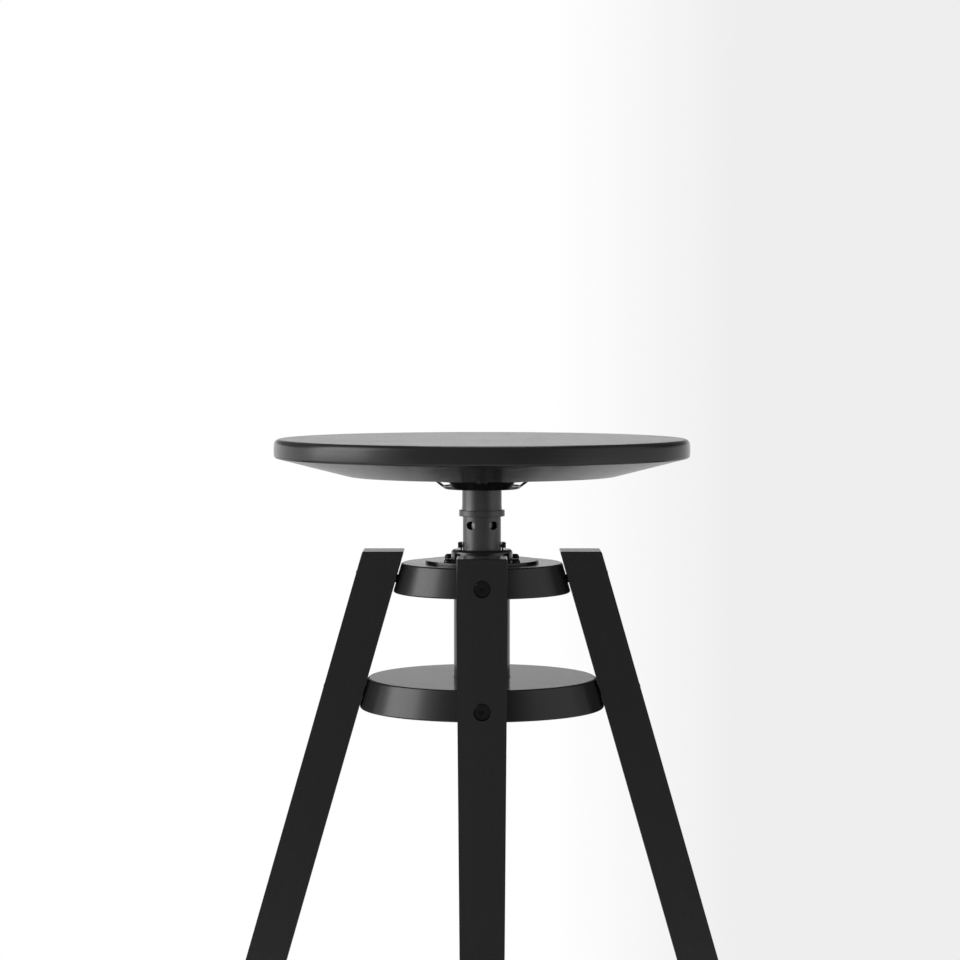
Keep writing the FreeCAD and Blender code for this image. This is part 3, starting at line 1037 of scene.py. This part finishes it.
def buildHoopTree(values):
    # a bar bent round, with four bosses and a weld bead at the foot of each
    tree, given, result = newGroup("hoopOnBosses", "GeometryNodeTree", [
        ("Ring Radius", "Float", None), ("Bar Radius", "Float", None),
        ("Boss Radius", "Float", None), ("Boss Length", "Float", None),
        ("Weld Radius", "Float", None), ("Height", "Float", None), ("Ring Steps", "Int", None),
        ("Sides", "Int", None), ("Finish", "Material", None),
    ], [("Geometry", "Geometry")])

    def sweptCircle(pathRadius, pathSteps, barRadius, sides):
        path, bar = (
            addNode(tree, "GeometryNodeCurvePrimitiveCircle", {
                "Radius": radius, "Resolution": steps,
            }).outputs["Curve"]
            for radius, steps in ((pathRadius, pathSteps), (barRadius, sides))
        )
        return addNode(tree, "GeometryNodeCurveToMesh", {
            "Curve": path, "Profile Curve": bar,
        }).outputs["Mesh"]

    def lifted(geometry, height):
        return addNode(tree, "GeometryNodeTransform", {
            "Geometry": geometry, "Translation": vectorNode(tree, z=height),
        }).outputs["Geometry"]

    def joined(*parts):
        join = tree.nodes.new("GeometryNodeJoinGeometry")
        for part in parts:
            feed(join.inputs["Geometry"], part)
        return join.outputs["Geometry"]

    hoop = sweptCircle(
        given["Ring Radius"], given["Ring Steps"], given["Bar Radius"], given["Sides"]
    )
    boss = addNode(tree, "GeometryNodeMeshCylinder", {
        "Vertices": values["bossSides"], "Radius": given["Boss Radius"],
        "Depth": given["Boss Length"],
    }).outputs["Mesh"]
    bead = sweptCircle(
        given["Boss Radius"], values["bossSides"], given["Weld Radius"], values["weldSides"]
    )
    fitting = joined(
        lifted(boss, product(tree, given["Boss Length"], 0.5)),
        lifted(bead, product(tree, given["Bar Radius"], values["weldHeight"])),
    )
    corners = addNode(tree, "GeometryNodeMeshCircle", {
        "Vertices": 4, "Radius": given["Ring Radius"],
    })
    outward = tree.nodes.new("GeometryNodeInputPosition").outputs["Position"]
    facing = addNode(tree, "FunctionNodeAlignRotationToVector", {"Vector": outward}, axis="Z")
    fittings = addNode(tree, "GeometryNodeInstanceOnPoints", {
        "Points": corners.outputs["Mesh"], "Instance": fitting,
        "Rotation": facing.outputs["Rotation"],
    })
    whole = joined(fittings.outputs["Instances"], hoop)
    endTree(tree, lifted(whole, given["Height"]), given, result)
    return tree


def buildHoop(values):
    hoop = grownObject("footrestHoop", buildHoopTree(values), {
        "Ring Radius": (legInner(values["height"]) - footrestStandoff) * mm,
        "Bar Radius": values["barRadius"] * mm,
        "Boss Radius": values["bossRadius"] * mm,
        "Boss Length": (footrestStandoff + values["bossPast"]) * mm,
        "Weld Radius": values["weldRadius"] * mm,
        "Height": values["height"] * mm,
        "Ring Steps": values["barSteps"],
        "Sides": values["barSides"],
        "Finish": finishes["coated_steel"],
    })
    pressAgainstLegs(hoop.data)  # trims the bosses, which start out too long
    shadeSmooth(hoop.data, values["sharpDegrees"])
    return dress(hoop, "coated_steel", "base", "footrest_hoop")


buildHoop(hoopValues)
print("footrest hoop built")


# Housing: tube, mounting plate and cap

housingValues = {
    "tubeRadius": 20.3,
    "tubeBore": 18.75,
    "tubeBottom": 455.15,
    "tubeTop": 565.4,
    "tubeRounding": 0.5,
    "lipBore": 13.9,
    "lipTop": 457.15,
    "plateRadius": 41.0,
    "plateBottom": 559.8,
    "plateTop": 561.8,
    "plateRounding": 0.45,
    "plateEdge": 0.2,
    "capRadius": 22.2,
    "capTop": 569.6,
    "capRounding": 2.6,
    "capBore": 17.6,
    "edge": 0.3,
    "clearance": 0.05,
    "segments": 128,
}


def buildHousing(values):
    bore, outer, edge = values["tubeBore"], values["tubeRadius"], values["edge"]
    tubeTop, plateTop, capTop = values["tubeTop"], values["plateTop"], values["capTop"]
    plateBore = outer + values["clearance"]
    for name, slotName, nodeName, arcSteps, outline in (
        ("housingTube", "coated_steel", "housing_tube", 5, [
            (values["lipBore"], values["tubeBottom"], edge),
            (outer, values["tubeBottom"], values["tubeRounding"]),
            (outer, tubeTop, edge),
            (bore, tubeTop, edge),
            (bore, values["lipTop"], 0.0),
            (values["lipBore"], values["lipTop"], edge),
        ]),
        ("mountingPlate", "coated_steel", "mounting_plate", 5, [
            (plateBore, values["plateBottom"], 0.0),
            (values["plateRadius"], values["plateBottom"], values["plateEdge"]),
            (values["plateRadius"], plateTop, values["plateRounding"]),
            (plateBore, plateTop, values["plateEdge"]),
        ]),
        ("housingCap", "black_plastic", "housing_cap", 8, [
            (plateBore, plateTop, 0.0),
            (values["capRadius"], plateTop, edge),
            (values["capRadius"], capTop, values["capRounding"]),
            (values["capBore"], capTop, edge),
            (values["capBore"], tubeTop, 0.0),
            (plateBore, tubeTop, 0.0),
        ]),
    ):
        mesh = turnedMesh(name, outline, values["segments"], closed=True, arcSteps=arcSteps)
        dress(weightedNormals(meshObject(name, mesh)), slotName, "base", nodeName)


buildHousing(housingValues)
print("housing built")


# Spindle tube, with two cross holes at the front and two at the back

spindleValues = {
    "bore": 10.6,
    "lowerRadius": 13.75,
    "flareRadius": 14.5,
    "upperRadius": 14.25,
    "bottom": 492.75,
    "collarTop": 597.8,
    "flareTop": 601.8,
    "top": 620.7,
    "rounding": 0.3,
    "holeHeight": 587.1,
    "holeRadius": 3.05,
    "holeOffset": 8.05,
    "holeDepth": 12.5,  # blind, so that no light comes through
    "holeMargin": 4.0,  # from the holes' middle to the next loop of the mesh
    "cutPast": 5.0,
    "normalCone": 28.0,
    "segments": 160,
}


def crossHolePins(values):
    shape = bmesh.new()
    radius, outer = values["holeRadius"], values["lowerRadius"]
    start, end = outer - values["holeDepth"], outer + values["cutPast"]
    for turn in (-math.pi / 2, math.pi / 2):
        sideways = Matrix.Rotation(turn, 3, "X")
        for offset in (-values["holeOffset"], values["holeOffset"]):
            addPin(
                shape, ((0.0, start), (radius, start), (radius, end), (0.0, end)),
                sideways, (offset, 0.0, values["holeHeight"]),
            )
    return meshObject("crossHolePins", meshFrom(shape, "crossHolePins"))


def buildSpindle(values):
    bore, lower, edge = values["bore"], values["lowerRadius"], values["rounding"]
    underHoles = values["holeHeight"] - values["holeMargin"]
    overHoles = values["holeHeight"] + values["holeMargin"]
    tube = meshObject("spindleTube", turnedMesh("spindleTube", [
        (bore, values["bottom"], edge),
        (lower, values["bottom"], edge),
        (lower, underHoles, 0.0),
        (lower, overHoles, 0.0),
        (lower, values["collarTop"], 0.0),
        (values["flareRadius"], values["collarTop"], 0.0),
        (values["upperRadius"], values["flareTop"], 0.0),
        (values["upperRadius"], values["top"], edge),
        (bore, values["top"], edge),
        (bore, overHoles, 0.0),
        (bore, underHoles, 0.0),
    ], values["segments"], closed=True))
    cutAway(tube, crossHolePins(values))
    panelNormals(tube.data, values["normalCone"], turned=True)
    return dress(tube, "spindle_steel", "seat_and_spindle", "spindle_tube")


buildSpindle(spindleValues)
print("spindle tube built")


# Pieces that keep the CAD's shape, shaded smooth

bodyOfNode = {
    member: bodyName
    for bodyName, members in frame["record"]["behaviour"]["bodies"].items()
    for member in members
}
smoothed = {
    "guideBush": "guide_bush",
    "stopCollar": "stop_collar",
    "spindleScrew": "spindle_screw",
    "seatDish": "seat_plate",
    "seatHub": "seat_hub",
    "endStopWasher": "end_stop_washer",
}
for pieceName, nodeName in smoothed.items():
    piece = smoothCopy(pieceName, nodeName)
    dress(piece, slotOfNode[nodeName], bodyOfNode[nodeName], nodeName)
print("smooth pieces:", len(smoothed))


# Studio

floorValues = {
    "radius": 1.6,
    "tint": (0.86, 0.86, 0.86, 1.0),
    "roughness": 0.9,
    "fade": (0.75, 1.15),
    "segments": 96,
}


def buildFloor(values):
    shape = bmesh.new()
    bmesh.ops.create_circle(
        shape, cap_ends=True, segments=values["segments"], radius=values["radius"]
    )
    mesh = bakedMesh(shape, "studioFloor")
    floor = meshObject("studioFloor", mesh)
    material, tree, surface = newMaterial("paleFloor")
    surface["Base Color"].default_value = values["tint"]
    surface["Roughness"].default_value = values["roughness"]
    surface["Specular IOR Level"].default_value = 0.0
    place = tree.nodes.new("ShaderNodeTexCoord").outputs["Object"]
    distance = addNode(tree, "ShaderNodeVectorMath", {0: place}, operation="LENGTH")
    near = rangeNode(tree, distance.outputs["Value"], values["fade"], (1.0, 0.0))
    feed(surface["Alpha"], near)  # the floor melts into the backdrop
    mesh.materials.append(material)


worldValues = {
    # degrees from the camera's direction, negative to its left, and brightness there
    "level": [
        (-180, 1.10), (-150, 1.00), (-126, 0.80), (-109, 1.3), (-99, 3.2), (-77, 3.4),
        (-63, 1.5), (-48, 0.48), (-34, 0.10), (0, 0.05), (28, 0.08), (45, 0.24), (62, 0.46),
        (82, 0.48), (110, 0.42), (140, 0.46), (165, 0.95), (180, 1.10),
    ],
    "below": [
        (-180, 0.60), (-150, 0.60), (-120, 0.70), (-90, 0.90), (-60, 0.70), (-40, 0.30),
        (-22, 0.15), (0, 0.12), (25, 0.15), (45, 0.40), (65, 0.70), (90, 0.60), (120, 0.50),
        (150, 0.60), (180, 0.60),
    ],
    "curveTop": 4.0,  # the brightness at the top of both curves
    "above": 0.10,
    "highRange": (0.5, 0.85),  # a direction's Z
    "lowRange": (0.06, -0.22),  # its Z
    "behindRange": (0.15, 0.5),  # its Y
    "dimRange": (0.03, 0.20),  # its Z, where the level behind is dimmed
    "dimming": 0.85,
    "sinkRange": (-0.36, -0.46),  # its Z, where the lower level behind is dimmed
    "sinking": 0.96,
    "paintedShadeRange": (0.025, 0.09),  # its X, where painted shade turns the backdrop seen by the camera greyer
    # the level of the backdrop's painted shade on the right, as a share of full white
    "paintedShadeRight": 0.855,
}


def levelCurve(tree, turn, levels, top):
    node = addNode(tree, "ShaderNodeFloatCurve", {"Value": turn})
    curve = node.mapping.curves[0]
    while len(curve.points) < len(levels):
        curve.points.new(0.5, 0.5)
    for point, (degrees, level) in zip(curve.points, levels):
        point.location = ((degrees + 180.0) / 360.0, level / top)
        point.handle_type = "AUTO_CLAMPED"
    node.mapping.update()
    return product(tree, node.outputs["Value"], top)


def buildWorld(values):
    world = bpy.data.worlds.new("studioWorld")
    scene.world = world
    world.use_nodes = True
    tree = world.node_tree
    tree.nodes.clear()
    place = tree.nodes.new("ShaderNodeTexCoord").outputs["Generated"]
    x, y, z = addNode(tree, "ShaderNodeSeparateXYZ", {0: place}).outputs
    azimuth = mathNode(tree, "ARCTAN2", x, product(tree, y, -1.0))
    turn = rangeNode(tree, azimuth, (-math.pi, math.pi))
    behind = rangeNode(tree, y, values["behindRange"])

    def dimmedBehind(level, heights, share):
        dimming = product(tree, behind, rangeNode(tree, z, heights, (0.0, share)))
        return product(tree, level, mathNode(tree, "SUBTRACT", 1.0, dimming))

    level, below = (
        levelCurve(tree, turn, values[name], values["curveTop"]) for name in ("level", "below")
    )
    level = dimmedBehind(level, values["dimRange"], values["dimming"])
    below = dimmedBehind(below, values["sinkRange"], values["sinking"])
    high = rangeNode(tree, z, values["highRange"])
    low = rangeNode(tree, z, values["lowRange"])
    middle = mathNode(tree, "SUBTRACT", mathNode(tree, "SUBTRACT", 1.0, high), low)
    strength = mathNode(
        tree, "ADD", product(tree, level, middle), product(tree, high, values["above"])
    )
    strength = mathNode(tree, "ADD", strength, product(tree, low, below))
    # the backdrop seen by the camera is white, with painted shade making it greyer to the right
    seen = rangeNode(tree, x, values["paintedShadeRange"], (1.0, values["paintedShadeRight"]))
    studio, backdrop = (
        addNode(tree, "ShaderNodeBackground", {
            "Color": (1.0, 1.0, 1.0, 1.0), "Strength": brightness,
        }).outputs[0]
        for brightness in (strength, seen)
    )
    path = tree.nodes.new("ShaderNodeLightPath")
    mix = addNode(tree, "ShaderNodeMixShader", {
        0: path.outputs["Is Camera Ray"], 1: studio, 2: backdrop,
    })
    addNode(tree, "ShaderNodeOutputWorld", {"Surface": mix.outputs[0]})


lampValues = {
    "frontFill": {
        "place": (-0.5, -3.2, 1.3), "target": (0.0, 0.0, 0.4), "size": (2.4, 2.0),
        "watts": 70.0, "seenInGloss": False,
    },
    "backSoftbox": {
        "place": (0.05, 1.7, 2.7), "target": (0.0, 0.0, 0.6), "size": (0.8, 0.8),
        "watts": 4.0, "seenInGloss": True,
    },
}


def areaLamp(name, values):
    lamp = bpy.data.lights.new(name, "AREA")
    lamp.shape = "RECTANGLE"
    lamp.size, lamp.size_y = values["size"]
    lamp.energy = values["watts"]
    obj = link(bpy.data.objects.new(name, lamp))
    obj.location = values["place"]
    towards = Vector(values["target"]) - Vector(values["place"])
    obj.rotation_euler = towards.to_track_quat("-Z", "Y").to_euler()
    obj.visible_glossy = values["seenInGloss"]


buildFloor(floorValues)
buildWorld(worldValues)
for lampName, oneLamp in lampValues.items():
    areaLamp(lampName, oneLamp)
print("studio built")


# Camera, where the photograph was taken from

cameraValues = {
    "place": (-0.0014, -2.040, 0.7214),
    "lens": 106.1,
    "sensor": 36.0,
    "downDegrees": 2.862,
}


def buildCamera(values):
    lensData = bpy.data.cameras.new("viewCamera")
    lensData.lens = values["lens"]
    lensData.sensor_width = values["sensor"]
    camera = link(bpy.data.objects.new("viewCamera", lensData))
    camera.location = values["place"]
    camera.rotation_euler = (math.radians(90.0 - values["downDegrees"]), 0.0, 0.0)
    scene.camera = camera


buildCamera(cameraValues)
scene.view_settings.view_transform = "Standard"
print("camera set")
